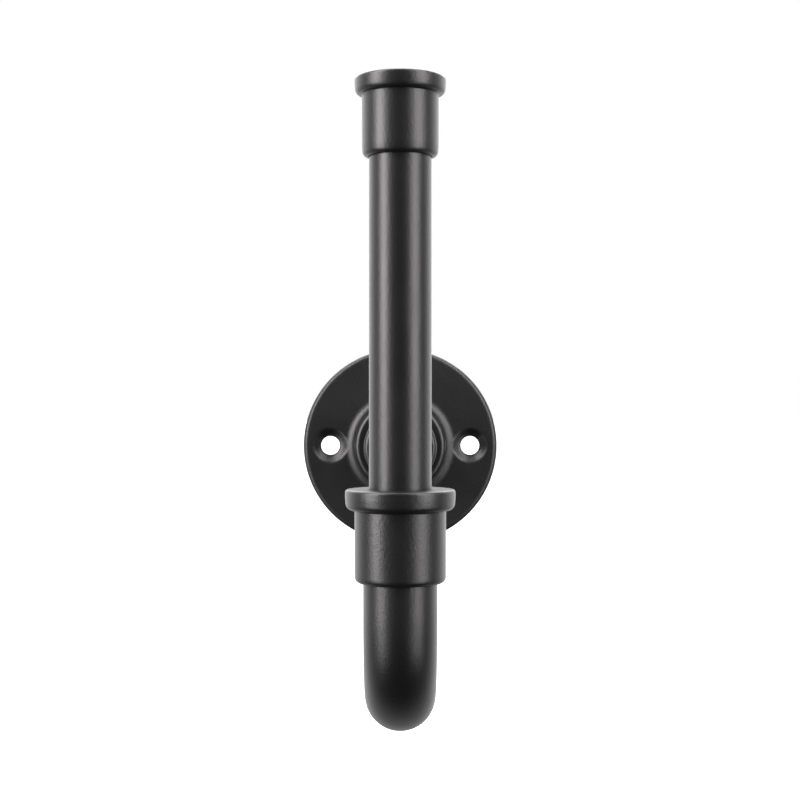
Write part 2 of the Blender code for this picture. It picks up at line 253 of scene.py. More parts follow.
def turned_mesh(name, points, segments, turn=FULL_TURN, lift=0.0):
    """Spin a closed outline of (radius, height) about Z. A part turn is closed with two ends."""
    work = bmesh.new()
    full = turn >= FULL_TURN
    count = segments if full else segments + 1
    rings = []
    for index in range(count):
        angle = turn * index / segments
        rise = lift * index / segments
        rings.append([
            work.verts.new((p.x * math.cos(angle), p.x * math.sin(angle), p.y + rise)) for p in points])
    for index in range(segments):
        here, beyond = rings[index], rings[(index + 1) % count]
        for low in range(len(points)):
            high = (low + 1) % len(points)
            work.faces.new((here[low], here[high], beyond[high], beyond[low]))
    if not full:
        work.faces.new(rings[0])
        work.faces.new(rings[-1][::-1])
    bmesh.ops.remove_doubles(work, verts=work.verts, dist=MERGE_DISTANCE)
    bmesh.ops.dissolve_degenerate(work, edges=work.edges, dist=COLLAPSE_DISTANCE)
    bmesh.ops.recalc_face_normals(work, faces=work.faces)
    mesh = bpy.data.meshes.new(name)
    work.to_mesh(mesh)
    work.free()
    return mesh


def threaded(points, radius, low, high):
    """Split the outline's run at this radius between two heights into rings fine enough for a thread."""
    result = []
    for index, point in enumerate(points):
        result.append(point)
        beyond = points[(index + 1) % len(points)]
        if abs(point.x - radius) > SAME_PLACE or abs(beyond.x - radius) > SAME_PLACE:
            continue
        if min(point.y, beyond.y) < low or max(point.y, beyond.y) > high:
            continue
        run = beyond - point
        steps = math.ceil(run.length / THREAD_STEP)
        result += [point + run * step / steps for step in range(1, steps)]
    return result


# ================================ geometry node trees ==========================================

def new_tree(name, inputs):
    """An empty tree with geometry in and out, and the named inputs."""
    tree = bpy.data.node_groups.new(name, "GeometryNodeTree")
    tree.interface.new_socket("Geometry", in_out="OUTPUT", socket_type="NodeSocketGeometry")
    tree.interface.new_socket("Geometry", in_out="INPUT", socket_type="NodeSocketGeometry")
    for label, kind in inputs:
        tree.interface.new_socket(label, in_out="INPUT", socket_type="NodeSocket" + kind)
    return tree, tree.nodes.new("NodeGroupInput"), tree.nodes.new("NodeGroupOutput")


def math_node(tree, operation, *values):
    """A Math node whose inputs are sockets or plain numbers."""
    node = tree.nodes.new("ShaderNodeMath")
    node.operation = operation
    for socket, value in zip(node.inputs, values):
        if isinstance(value, bpy.types.NodeSocket):
            tree.links.new(value, socket)
        else:
            socket.default_value = value
    return node.outputs[0]


def end_tree(tree, geometry, output, material):
    """Every tree ends in Realize Instances and Set Material."""
    realize = tree.nodes.new("GeometryNodeRealizeInstances")
    paint = tree.nodes.new("GeometryNodeSetMaterial")
    tree.links.new(geometry, realize.inputs["Geometry"])
    tree.links.new(realize.outputs["Geometry"], paint.inputs["Geometry"])
    tree.links.new(material, paint.inputs["Material"])
    tree.links.new(paint.outputs["Geometry"], output.inputs["Geometry"])


def run_tree(name, tree, mesh, values):
    """Run a tree on a mesh with its named inputs, and return the result as a plain mesh."""
    carrier = bpy.data.objects.new(name + "_carrier", mesh)
    bpy.context.scene.collection.objects.link(carrier)
    modifier = carrier.modifiers.new(tree.name, "NODES")
    modifier.node_group = tree
    for item in tree.interface.items_tree:
        if item.item_type == "SOCKET" and item.in_out == "INPUT" and item.name in values:
            modifier[item.identifier] = values[item.name]
    view = bpy.context.evaluated_depsgraph_get()
    result = bpy.data.meshes.new_from_object(carrier.evaluated_get(view), depsgraph=view)
    result.name = name
    bpy.data.objects.remove(carrier, do_unlink=True)
    return result


def sweep_tree():
    """A round tube skin along corner points, each corner bent to its own radius."""
    tree, given, output = new_tree("bent_tube_sweep", [
        ("Tube Radius", "Float"), ("Ring Spacing", "Float"), ("Sides", "Int"),
        ("Bend Steps", "Int"), ("Material", "Material")])
    nodes, links = tree.nodes, tree.links
    route = nodes.new("GeometryNodeMeshToCurve")
    corner_radius = nodes.new("GeometryNodeInputNamedAttribute")
    corner_radius.data_type = "FLOAT"
    corner_radius.inputs["Name"].default_value = BEND_ATTRIBUTE
    fillet = nodes.new("GeometryNodeFilletCurve")
    fillet.mode = "POLY"
    resample = nodes.new("GeometryNodeResampleCurve")
    resample.mode = "LENGTH"
    circle = nodes.new("GeometryNodeCurvePrimitiveCircle")
    sweep = nodes.new("GeometryNodeCurveToMesh")
    links.new(given.outputs["Geometry"], route.inputs["Mesh"])
    links.new(route.outputs["Curve"], fillet.inputs["Curve"])
    links.new(corner_radius.outputs["Attribute"], fillet.inputs["Radius"])
    links.new(given.outputs["Bend Steps"], fillet.inputs["Count"])
    links.new(fillet.outputs["Curve"], resample.inputs["Curve"])
    links.new(given.outputs["Ring Spacing"], resample.inputs["Length"])
    links.new(given.outputs["Tube Radius"], circle.inputs["Radius"])
    links.new(given.outputs["Sides"], circle.inputs["Resolution"])
    links.new(resample.outputs["Curve"], sweep.inputs["Curve"])
    links.new(circle.outputs["Curve"], sweep.inputs["Profile Curve"])
    end_tree(tree, sweep.outputs["Mesh"], output, given.outputs["Material"])
    return tree


def polar_fields(tree):
    """A point's x and y, its distance from the Z axis, its turn round Z in whole turns, its height."""
    split = tree.nodes.new("ShaderNodeSeparateXYZ")
    place = tree.nodes.new("GeometryNodeInputPosition")
    tree.links.new(place.outputs["Position"], split.inputs[0])
    x, y, z = split.outputs
    square = math_node(tree, "ADD", math_node(tree, "MULTIPLY", x, x), math_node(tree, "MULTIPLY", y, y))
    turns = math_node(tree, "DIVIDE", math_node(tree, "ARCTAN2", y, x), FULL_TURN)
    return x, y, math_node(tree, "SQRT", square), turns, z


def thread_tree():
    """Cut a helical thread into every point that lies at the given radius between two heights."""
    tree, given, output = new_tree("screw_thread", [
        ("Radius", "Float"), ("Pitch", "Float"), ("Depth", "Float"),
        ("Low", "Float"), ("High", "Float"), ("Material", "Material")])
    nodes, links = tree.nodes, tree.links
    x, y, across, turns, height = polar_fields(tree)
    along = math_node(tree, "DIVIDE", height, given.outputs["Pitch"])
    ridge = math_node(tree, "PINGPONG", math_node(tree, "SUBTRACT", along, turns), 0.5)
    cut = math_node(tree, "MULTIPLY", ridge, math_node(tree, "MULTIPLY", given.outputs["Depth"], -2.0))
    share = math_node(tree, "DIVIDE", cut, across)
    off_radius = math_node(tree, "ABSOLUTE", math_node(
        tree, "SUBTRACT", across, given.outputs["Radius"]))
    chosen = math_node(tree, "LESS_THAN", off_radius, SAME_PLACE)
    for limit, comparison in (("Low", "GREATER_THAN"), ("High", "LESS_THAN")):
        inside = math_node(tree, comparison, height, given.outputs[limit])
        chosen = math_node(tree, "MULTIPLY", chosen, inside)
    push = nodes.new("ShaderNodeCombineXYZ")
    links.new(math_node(tree, "MULTIPLY", x, share), push.inputs[0])
    links.new(math_node(tree, "MULTIPLY", y, share), push.inputs[1])
    move = nodes.new("GeometryNodeSetPosition")
    links.new(given.outputs["Geometry"], move.inputs["Geometry"])
    links.new(chosen, move.inputs["Selection"])
    links.new(push.outputs[0], move.inputs["Offset"])
    end_tree(tree, move.outputs["Geometry"], output, given.outputs["Material"])
    return tree


def weld_tree():
    """A ring of overlapping weld ripples round Z, added to the piece that it joins."""
    tree, given, output = new_tree("weld_bead", [
        ("Ring Radius", "Float"), ("Bead Radius", "Float"), ("Height", "Float"), ("Ripples", "Int"),
        ("Ripple Height", "Float"), ("Sides", "Int"), ("Steps", "Int"), ("Material", "Material")])
    nodes, links = tree.nodes, tree.links
    ring = nodes.new("GeometryNodeCurvePrimitiveCircle")
    bead = nodes.new("GeometryNodeCurvePrimitiveCircle")
    sweep = nodes.new("GeometryNodeCurveToMesh")
    links.new(given.outputs["Ring Radius"], ring.inputs["Radius"])
    links.new(given.outputs["Steps"], ring.inputs["Resolution"])
    links.new(given.outputs["Bead Radius"], bead.inputs["Radius"])
    links.new(given.outputs["Sides"], bead.inputs["Resolution"])
    links.new(ring.outputs["Curve"], sweep.inputs["Curve"])
    links.new(bead.outputs["Curve"], sweep.inputs["Profile Curve"])
    _, _, _, turns, _ = polar_fields(tree)
    phase = math_node(tree, "MULTIPLY", math_node(
        tree, "MULTIPLY", turns, given.outputs["Ripples"]), FULL_TURN)
    rise = math_node(tree, "MULTIPLY", math_node(tree, "SINE", phase), given.outputs["Ripple Height"])
    swell = nodes.new("ShaderNodeVectorMath")
    swell.operation = "SCALE"
    links.new(nodes.new("GeometryNodeInputNormal").outputs["Normal"], swell.inputs[0])
    links.new(rise, swell.inputs["Scale"])
    ripple = nodes.new("GeometryNodeSetPosition")
    links.new(sweep.outputs["Mesh"], ripple.inputs["Geometry"])
    links.new(swell.outputs[0], ripple.inputs["Offset"])
    lift = nodes.new("ShaderNodeCombineXYZ")
    links.new(given.outputs["Height"], lift.inputs[2])
    raised = nodes.new("GeometryNodeSetPosition")
    links.new(ripple.outputs["Geometry"], raised.inputs["Geometry"])
    links.new(lift.outputs[0], raised.inputs["Offset"])
    join = nodes.new("GeometryNodeJoinGeometry")
    links.new(raised.outputs["Geometry"], join.inputs["Geometry"])
    links.new(given.outputs["Geometry"], join.inputs["Geometry"])
    end_tree(tree, join.outputs["Geometry"], output, given.outputs["Material"])
    return tree


# ================================ finishes =====================================================

def new_group(name, inputs, outputs):
    """A shader node group with named number inputs and named outputs."""
    group = bpy.data.node_groups.new(name, "ShaderNodeTree")
    for label, value in inputs:
        socket = group.interface.new_socket(label, in_out="INPUT", socket_type="NodeSocketFloat")
        socket.default_value = value
    for label in outputs:
        group.interface.new_socket(label, in_out="OUTPUT", socket_type="NodeSocketFloat")
    return group, group.nodes.new("NodeGroupInput"), group.nodes.new("NodeGroupOutput")


def noise_node(tree, vector, scale, detail):
    """A noise value at the given place, at a scale that a socket sets."""
    node = tree.nodes.new("ShaderNodeTexNoise")
    node.inputs["Detail"].default_value = detail
    tree.links.new(vector, node.inputs["Vector"])
    tree.links.new(scale, node.inputs["Scale"])
    return node.outputs["Fac"]


def powder_coat_group():
    """Powder coat: a fine grain on a slow orange peel, and a cloudy change of gloss."""
    group, given, output = new_group(
        "powder_coat_surface",
        [("Grain Scale", 2600.0), ("Peel Scale", 1200.0), ("Cloud Scale", 60.0), ("Grain Share", 0.4)],
        ["Height", "Gloss Change", "Tone"])
    place = group.nodes.new("ShaderNodeTexCoord").outputs["Object"]
    grain = noise_node(group, place, given.outputs["Grain Scale"], 2.0)
    peel = noise_node(group, place, given.outputs["Peel Scale"], 1.0)
    cloud = noise_node(group, place, given.outputs["Cloud Scale"], 3.0)
    fine = math_node(group, "MULTIPLY", grain, given.outputs["Grain Share"])
    tone = math_node(group, "MULTIPLY_ADD", cloud, COAT_CLOUD_SHARE, math_node(
        group, "MULTIPLY", grain, 1 - COAT_CLOUD_SHARE))
    group.links.new(math_node(group, "ADD", fine, peel), output.inputs["Height"])
    group.links.new(math_node(group, "SUBTRACT", cloud, 0.5), output.inputs["Gloss Change"])
    group.links.new(tone, output.inputs["Tone"])
    return group


def turned_steel_group():
    """Lathe marks: fine rings along an axis, and a cloudy change of gloss as plating has."""
    group, given, output = new_group(
        "turned_steel_surface",
        [("Ring Scale", 5200.0), ("Cloud Scale", 220.0), ("Across", 0.02), ("Along", 1.0)],
        ["Height", "Gloss Change", "Tone"])
    place = group.nodes.new("ShaderNodeTexCoord").outputs["Object"]
    stretch = group.nodes.new("ShaderNodeCombineXYZ")
    for index, label in enumerate(("Across", "Across", "Along")):
        group.links.new(given.outputs[label], stretch.inputs[index])
    squeezed = group.nodes.new("ShaderNodeVectorMath")
    squeezed.operation = "MULTIPLY"
    group.links.new(place, squeezed.inputs[0])
    group.links.new(stretch.outputs[0], squeezed.inputs[1])
    rings = noise_node(group, squeezed.outputs[0], given.outputs["Ring Scale"], 2.0)
    cloud = noise_node(group, place, given.outputs["Cloud Scale"], 3.0)
    tone = math_node(group, "MULTIPLY_ADD", cloud, ZINC_CLOUD_SHARE, math_node(
        group, "MULTIPLY", rings, 1 - ZINC_CLOUD_SHARE))
    group.links.new(rings, output.inputs["Height"])
    group.links.new(math_node(group, "SUBTRACT", cloud, 0.5), output.inputs["Gloss Change"])
    group.links.new(tone, output.inputs["Tone"])
    return group


def surfaced_material(name, surface, values, dark, light, roughness, swing, bump, metallic):
    """A material whose colour, roughness and relief follow a surface group."""
    material = bpy.data.materials.new(name)
    material.use_nodes = True
    tree = material.node_tree
    shader = tree.nodes["Principled BSDF"]
    texture = tree.nodes.new("ShaderNodeGroup")
    texture.node_tree = surface
    for label, value in values.items():
        texture.inputs[label].default_value = value
    colour = tree.nodes.new("ShaderNodeMix")
    colour.data_type = "RGBA"
    colour.inputs["A"].default_value = (*dark, 1.0)
    colour.inputs["B"].default_value = (*light, 1.0)
    relief = tree.nodes.new("ShaderNodeBump")
    strength, height = bump
    relief.inputs["Strength"].default_value = strength
    relief.inputs["Distance"].default_value = height
    tree.links.new(texture.outputs["Tone"], colour.inputs["Factor"])
    tree.links.new(colour.outputs["Result"], shader.inputs["Base Color"])
    gloss = math_node(tree, "MULTIPLY_ADD", texture.outputs["Gloss Change"], swing, roughness)
    tree.links.new(gloss, shader.inputs["Roughness"])
    tree.links.new(texture.outputs["Height"], relief.inputs["Height"])
    tree.links.new(relief.outputs["Normal"], shader.inputs["Normal"])
    shader.inputs["Metallic"].default_value = metallic
    return material


def black_coat(name, surface, roughness, **values):
    """Satin black powder coat."""
    return surfaced_material(name, surface, values, COAT_DARK, COAT_LIGHT, roughness,
                             COAT_GLOSS_SWING, (COAT_BUMP, COAT_BUMP_HEIGHT), 0.0)


def zinc_plate(name, surface, roughness, **values):
    """Bright zinc plate."""
    return surfaced_material(name, surface, values, ZINC_DARK, ZINC_LIGHT, roughness,
                             ZINC_GLOSS_SWING, (ZINC_BUMP, ZINC_BUMP_HEIGHT), 1.0)


def make_finishes():
    """Each finish by where it goes: the coat has a slightly other grain on each kind of piece."""
    powder = powder_coat_group()
    lathed = turned_steel_group()
    return {
        "tubes": black_coat("black_coat_on_tube", powder, TUBE_ROUGHNESS, **{"Peel Scale": 1000.0}),
        "fittings": black_coat(
            "black_coat_on_fittings", powder, FITTING_ROUGHNESS, **{"Peel Scale": 1150.0}),
        "sheet": black_coat(
            "black_coat_on_pressed_sheet", powder, SHEET_ROUGHNESS, **{"Grain Share": 0.7}),
        "studs": zinc_plate("zinc_on_rolled_studs", lathed, STUD_ROUGHNESS),
        "turned": zinc_plate("zinc_on_turned_plugs", lathed, PLUG_ROUGHNESS, Across=1.0),
        "spring": zinc_plate(
            "zinc_on_spring_washers", lathed, WASHER_ROUGHNESS, **{"Cloud Scale": 400.0})}


# ================================ pieces =====================================================

def joint_place(is_wall):
    """Where a collar joint's own frame sits: 0 at the rim's end, the body down its Z."""
    if is_wall:
        return Matrix.Translation((0.0, WALL_RIM_BACK, 0.0)) @ Matrix.Rotation(-math.pi / 2, 4, "X")
    return Matrix.Translation((0.0, PIPE_AXIS, FRONT_RIM_TOP))


def cap_place():
    """Where the cap's own frame sits: 0 at its open end, the rim up its Z."""
    return Matrix.Translation((0.0, PIPE_AXIS, CAP_LOW.z))


def stand_for(piece, node, material):
    """Give a piece its finish, and let it stand for its CAD node."""
    piece.data.materials.clear()
    piece.data.materials.append(material)
    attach(piece, "root")
    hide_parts(node)


def turned(name, corners, place, segments=ROUND_SEGMENTS, thread=None):
    """A lathe piece from its corners, with a thread at thread's radius between its two heights."""
    points = supported(rounded(corners))
    if thread is None:
        return finish_mesh(name, turned_mesh(name, points, segments), place)
    radius, low, high = thread
    mesh = turned_mesh(name, threaded(points, radius, low, high), segments)
    mesh = run_tree(name, THREAD_TREE, mesh, {
        "Radius": radius, "Pitch": THREAD_PITCH, "Depth": THREAD_DEPTH,
        "Low": low - SAME_PLACE, "High": high + SAME_PLACE, "Material": FINISHES["studs"]})
    return finish_mesh(name, mesh, place)


def make_pipe():
    """The plain upright pipe, open at both ends."""
    inner = PIPE_RADIUS - PIPE_WALL
    corners = [
        (inner, PIPE_HIGH.z, EDGE_BREAK),
        (PIPE_RADIUS, PIPE_HIGH.z, EDGE_BREAK),
        (PIPE_RADIUS, PIPE_LOW.z, EDGE_BREAK),
        (inner, PIPE_LOW.z, EDGE_BREAK)]
    pipe = turned("upright_pipe_drawn", corners, Matrix.Translation((0.0, PIPE_AXIS, 0.0)))
    stand_for(pipe, "upright_pipe", FINISHES["tubes"])


def make_cap():
    """The turned cap: a bead rim on top, a bore for the pipe and a tapped blind hole above it."""
    height = CAP_HIGH.z - CAP_LOW.z
    bore = PIPE_RADIUS + CLOSE_FIT
    tapped = STUD_RADIUS + THREAD_FIT
    thread_end = CAP_SEAT + CAP_THREAD_DEPTH
    corners = [
        (0.0, height, 0.0),
        (CAP_HIGH.x, height, RIM_TOP_ROUND),
        (CAP_HIGH.x, height - CAP_RIM_SIDE, SHOULDER_ROUND),
        (CAP_HIGH.x - SHOULDER_TAPER, height - CAP_RIM_HEIGHT, CAP_RIM_UNDER_ROUND),
        (CAP_RADIUS, height - CAP_RIM_HEIGHT, CAP_NECK_ROUND),
        (CAP_RADIUS, CAP_SOFT_END, SHOULDER_ROUND),
        (CAP_RADIUS - SHOULDER_TAPER, 0.0, CAP_END_ROUND),
        (bore, 0.0, EDGE_BREAK),
        (bore, CAP_SEAT, 0.0),
        (tapped + STUD_CHAMFER, CAP_SEAT, 0.0),
        (tapped, CAP_SEAT + STUD_CHAMFER, 0.0),
        (tapped, thread_end, 0.0),
        (0.0, thread_end, 0.0)]
    cap = turned("end_cap_turned", corners, cap_place(), thread=(tapped, CAP_SEAT, thread_end))
    stand_for(cap, "end_cap", FINISHES["fittings"])


def make_collar(name, node, rim_radius, is_wall):
    """A sleeve with a bead rim, bored for the pipe on its rim side and for the tube below."""
    bore = PIPE_RADIUS + CLOSE_FIT
    sleeve = TUBE_RADIUS + CLOSE_FIT
    taper = 0.0 if is_wall else SHOULDER_TAPER
    shoulder_round = 0.0 if is_wall else SHOULDER_ROUND
    web_top = -(PIPE_SEAT + GAP)
    web_bottom = web_top - WEB_THICKNESS
    corners = [
        (bore, 0.0, EDGE_BREAK),
        (rim_radius, 0.0, RIM_TOP_ROUND),
        (rim_radius, -RIM_SIDE, shoulder_round),
        (rim_radius - taper, -RIM_HEIGHT, RIM_UNDER_ROUND),
        (COLLAR_RADIUS, -RIM_HEIGHT, RIM_NECK_ROUND),
        (COLLAR_RADIUS, -COLLAR_LENGTH, BODY_END_ROUND),
        (sleeve, -COLLAR_LENGTH, EDGE_BREAK),
        (sleeve, web_bottom, 0.0),
        (STUD_HOLE, web_bottom, 0.0),
        (STUD_HOLE, web_top, 0.0),
        (bore, web_top, 0.0)]
    collar = turned(name, corners, joint_place(is_wall))
    stand_for(collar, node, FINISHES["fittings"])


def make_tube():
    """The bent tube, swept along its corners, with its wall added inwards."""
    back_leg = WALL_LOW.y - ELBOW_RADIUS
    corners = [
        ((0.0, PIPE_AXIS, FRONT_RIM_TOP - TUBE_SEAT), 0.0),
        ((0.0, PIPE_AXIS, TRAP_HEIGHT), TRAP_BEND_RADIUS),
        ((0.0, back_leg, TRAP_HEIGHT), TRAP_BEND_RADIUS),
        ((0.0, back_leg, 0.0), ELBOW_RADIUS),
        ((0.0, TUBE_HIGH.y, 0.0), 0.0)]
    route = bpy.data.meshes.new("bent_tube_route")
    route.from_pydata([place for place, _ in corners], [(i, i + 1) for i in range(len(corners) - 1)], [])
    radius = route.attributes.new(BEND_ATTRIBUTE, "FLOAT", "POINT")
    radius.data.foreach_set("value", [bend for _, bend in corners])
    mesh = run_tree("bent_tube_swept", sweep_tree(), route, {
        "Tube Radius": TUBE_RADIUS, "Ring Spacing": TUBE_RING_SPACING, "Sides": TUBE_SIDES,
        "Bend Steps": TUBE_BEND_STEPS, "Material": FINISHES["tubes"]})
    tube = finish_mesh("bent_tube_swept", mesh)
    wall = tube.modifiers.new("wall", "SOLIDIFY")
    wall.thickness = TUBE_WALL
    wall.offset = -1.0
    stand_for(tube, "bent_tube", FINISHES["tubes"])


def dish_depth(x, z):
    """How far the press pushed the sheet in, round the nearer screw hole."""
    away = math.hypot(abs(x) - HOLE_OFFSET, z)
    share = min(max((DISH_RADIUS - away) / (DISH_RADIUS - HOLE_RADIUS), 0.0), 1.0)
    return DISH_DEPTH * share * share * (3 - 2 * share)


def circle_points(radius, count, centre=0.0):
    """Points (x, z) of a circle in the wall's plane, its centre on the X axis."""
    angles = [FULL_TURN * k / count for k in range(count)]
    return [(centre + radius * math.cos(a), radius * math.sin(a)) for a in angles]


def loop_edges(start, count):
    """Pairs of neighbours round a closed loop of numbered points."""
    return [(start + k, start + (k + 1) % count) for k in range(count)]


def plate_plan(outline, first, last):
    """Points and border edges of the plate between two radii: rings round the centre and the holes."""
    rings = [p.x for p in supported(outline, closed=False) if first + SAME_PLACE < p.x < last - SAME_PLACE]
    points = circle_points(first, FLANGE_SEGMENTS) + circle_points(last, FLANGE_SEGMENTS)
    borders = loop_edges(0, FLANGE_SEGMENTS) + loop_edges(FLANGE_SEGMENTS, FLANGE_SEGMENTS)
    for radius in rings:
        points += [(x, z) for x, z in circle_points(radius, FLANGE_SEGMENTS)
                   if math.hypot(abs(x) - HOLE_OFFSET, z) > DISH_RADIUS + SUPPORT]
    for centre in (-HOLE_OFFSET, HOLE_OFFSET):
        borders += loop_edges(len(points), HOLE_SEGMENTS)
        for step in range(HOLE_RINGS + 1):
            radius = HOLE_RADIUS + (DISH_RADIUS - HOLE_RADIUS) * step / HOLE_RINGS
            points += circle_points(radius, HOLE_SEGMENTS, centre)
    return [Vector(p) for p in points], borders


def make_flange():
    """The pressed flange: a front skin with hub, dishes and skirt, given its sheet thickness."""
    outline = rounded([
        (PIPE_RADIUS + CLOSE_FIT, HUB_HEIGHT, 0.0),
        (HUB_TOP_RADIUS, HUB_HEIGHT, HUB_TOP_ROUND),
        (HUB_FOOT_RADIUS, PLATE_HEIGHT, HUB_FOOT_ROUND),
        (FLANGE_RADIUS, PLATE_HEIGHT, FLANGE_EDGE_ROUND),
        (FLANGE_RADIUS, 0.0, 0.0)], closed=False)
    radii, heights = [p.x for p in outline], [p.y for p in outline]
    first = HOLE_OFFSET - DISH_RADIUS - PLAN_MARGIN
    last = FLANGE_RADIUS - FLANGE_EDGE_ROUND
    work = bmesh.new()

    def front_vertex(x, z, height):
        return work.verts.new((x, dish_depth(x, z) - height, z))

    plan, borders = plate_plan(outline, first, last)
    spots, _, faces, *_ = delaunay_2d_cdt(plan, borders, [], 0, SAME_PLACE / 100)
    verts = [front_vertex(s.x, s.y, float(np.interp(s.length, radii, heights))) for s in spots]
    for face in faces:
        middle = sum((spots[i] for i in face), Vector((0.0, 0.0))) / len(face)
        in_hole = math.hypot(abs(middle.x) - HOLE_OFFSET, middle.y) < HOLE_RADIUS
        if first < middle.length < last and not in_hole:
            work.faces.new([verts[i] for i in face])
    shown = supported(outline, closed=False)
    border = [Vector((r, float(np.interp(r, radii, heights)))) for r in (first, last)]
    hub = [p for p in shown if p.x < first - SAME_PLACE] + border[:1]
    skirt = border[1:] + [p for p in shown if p.x > last + SAME_PLACE]
    for chain in (hub, skirt):
        rings = [[front_vertex(x, z, p.y) for x, z in circle_points(p.x, FLANGE_SEGMENTS)] for p in chain]
        for inner, outer in zip(rings, rings[1:]):
            for here, beyond in loop_edges(0, FLANGE_SEGMENTS):
                work.faces.new((inner[here], inner[beyond], outer[beyond], outer[here]))
    bmesh.ops.delete(work, geom=[v for v in work.verts if not v.link_faces], context="VERTS")
    bmesh.ops.remove_doubles(work, verts=work.verts, dist=SAME_PLACE)
    bmesh.ops.recalc_face_normals(work, faces=work.faces)
    if sum(face.normal.y * face.calc_area() for face in work.faces) > 0:
        bmesh.ops.reverse_faces(work, faces=work.faces)
    mesh = bpy.data.meshes.new("wall_flange_pressed")
    work.to_mesh(mesh)
    work.free()
    flange = finish_mesh("wall_flange_pressed", mesh)
    sheet = flange.modifiers.new("sheet", "SOLIDIFY")
    sheet.thickness = SHEET
    sheet.offset = -1.0
    stand_for(flange, "wall_flange", FINISHES["sheet"])


def make_boss():
    """The tapped boss behind the hub, with the weld bead that holds its shoulder to the sheet."""
    front = GAP + SHEET + CLOSE_FIT
    back = GAP + SHEET + GAP + BOSS_SHOULDER
    seat = WASHER_RADIUS + GAP
    tapped = STUD_RADIUS + THREAD_FIT
    seat_bottom = -PIPE_SEAT + WASHER_SEAT
    corners = [
        (tapped, back - STUD_CHAMFER, 0.0),
        (tapped + STUD_CHAMFER, back, 0.0),
        (BOSS_SHOULDER_RADIUS, back, PLUG_CHAMFER),
        (BOSS_SHOULDER_RADIUS, front, 0.0),
        (PIPE_RADIUS, front, 0.0),
        (PIPE_RADIUS, -PIPE_SEAT, PLUG_CHAMFER),
        (seat, -PIPE_SEAT, 0.0),
        (seat, seat_bottom, 0.0),
        (tapped + STUD_CHAMFER, seat_bottom, 0.0),
        (tapped, seat_bottom + STUD_CHAMFER, 0.0)]
    boss = turned("flange_boss_tapped", corners, None, thread=(tapped, seat_bottom, back))
    boss.data = run_tree("flange_boss_welded", weld_tree(), boss.data, {
        "Ring Radius": WELD_RING_RADIUS, "Bead Radius": WELD_BEAD_RADIUS, "Height": front + GAP,
        "Ripples": WELD_RIPPLES, "Ripple Height": WELD_RIPPLE_HEIGHT, "Sides": WELD_SIDES,
        "Steps": WELD_STEPS * WELD_RIPPLES, "Material": FINISHES["fittings"]})
    boss.data.transform(joint_place(is_wall=True))
    stand_for(boss, "flange_boss", FINISHES["fittings"])


def make_plug(node, radius, top, place):
    """A tapped plug that is brazed into a tube's end."""
    bottom = top - PLUG_LENGTH
    tapped = STUD_RADIUS + THREAD_FIT
    corners = [
        (tapped + STUD_CHAMFER, top, 0.0),
        (radius - PLUG_CHAMFER, top, 0.0),
        (radius, top - PLUG_CHAMFER, 0.0),
        (radius, bottom + PLUG_CHAMFER, 0.0),
        (radius - PLUG_CHAMFER, bottom, 0.0),
        (tapped + STUD_CHAMFER, bottom, 0.0),
        (tapped, bottom + STUD_CHAMFER, 0.0),
        (tapped, top - STUD_CHAMFER, 0.0)]
    plug = turned(node + "_turned", corners, place, HARDWARE_SEGMENTS, (tapped, bottom, top))
    stand_for(plug, node, FINISHES["turned"])


def make_stud(node, top, bottom, place):
    """A length of stud with a rolled thread and a chamfer at both ends."""
    corners = [
        (0.0, top, 0.0),
        (STUD_RADIUS - STUD_CHAMFER, top, 0.0),
        (STUD_RADIUS, top - STUD_CHAMFER, 0.0),
        (STUD_RADIUS, bottom + STUD_CHAMFER, 0.0),
        (STUD_RADIUS - STUD_CHAMFER, bottom, 0.0),
        (0.0, bottom, 0.0)]
    stud = turned(node + "_rolled", corners, place, HARDWARE_SEGMENTS, (STUD_RADIUS, bottom, top))
    stand_for(stud, node, FINISHES["studs"])


def make_lock_washer(node, place):
    """A split spring washer, wound so that its two ends stand a little apart."""
    bottom = -PIPE_SEAT - GAP / 2
    top = bottom + WASHER_THICKNESS
    corners = [
        (STUD_HOLE, top, EDGE_BREAK / 2),
        (WASHER_RADIUS, top, EDGE_BREAK / 2),
        (WASHER_RADIUS, bottom, EDGE_BREAK / 2),
        (STUD_HOLE, bottom, EDGE_BREAK / 2)]
    name = node + "_wound"
    mesh = turned_mesh(name, supported(rounded(corners)), ROUND_SEGMENTS, WASHER_TURN, WASHER_LIFT)
    mesh.transform(Matrix.Rotation((FULL_TURN - WASHER_TURN) / 2, 4, "Z"))
    stand_for(finish_mesh(name, mesh, place), node, FINISHES["spring"])


def make_joint_hardware(side):
    """The washer, tube plug and stud that both collar joints have inside."""
    place = joint_place(side == "wall")
    make_lock_washer(side + "_lock_washer", place)
    make_plug(side + "_tube_plug", TUBE_RADIUS - TUBE_WALL - CLOSE_FIT, -TUBE_SEAT, place)
    make_stud(side + "_stud", -PIPE_SEAT + WASHER_SEAT + STUD_REACH, -TUBE_SEAT - STUD_REACH, place)


def make_pieces():
    """Every piece of the holder, outer ones first."""
    make_pipe()
    make_cap()
    make_collar("front_collar_turned", "front_collar", FRONT_HIGH.x, is_wall=False)
    make_collar("wall_collar_turned", "wall_collar", WALL_HIGH.x, is_wall=True)
    make_tube()
    make_flange()
    make_boss()
    make_joint_hardware("front")
    make_joint_hardware("wall")
    pipe_bore = PIPE_RADIUS - PIPE_WALL - CLOSE_FIT
    lower_plug_top = -PIPE_SEAT + WASHER_SEAT + PLUG_LENGTH
    make_plug("pipe_lower_plug", pipe_bore, lower_plug_top, joint_place(is_wall=False))
    make_plug("pipe_upper_plug", pipe_bore, CAP_SEAT - GAP, cap_place())
    stud_top = CAP_SEAT + CAP_THREAD_DEPTH - GAP
    make_stud("cap_stud", stud_top, CAP_SEAT - GAP - STUD_REACH, cap_place())


# ================================ studio =======================================================

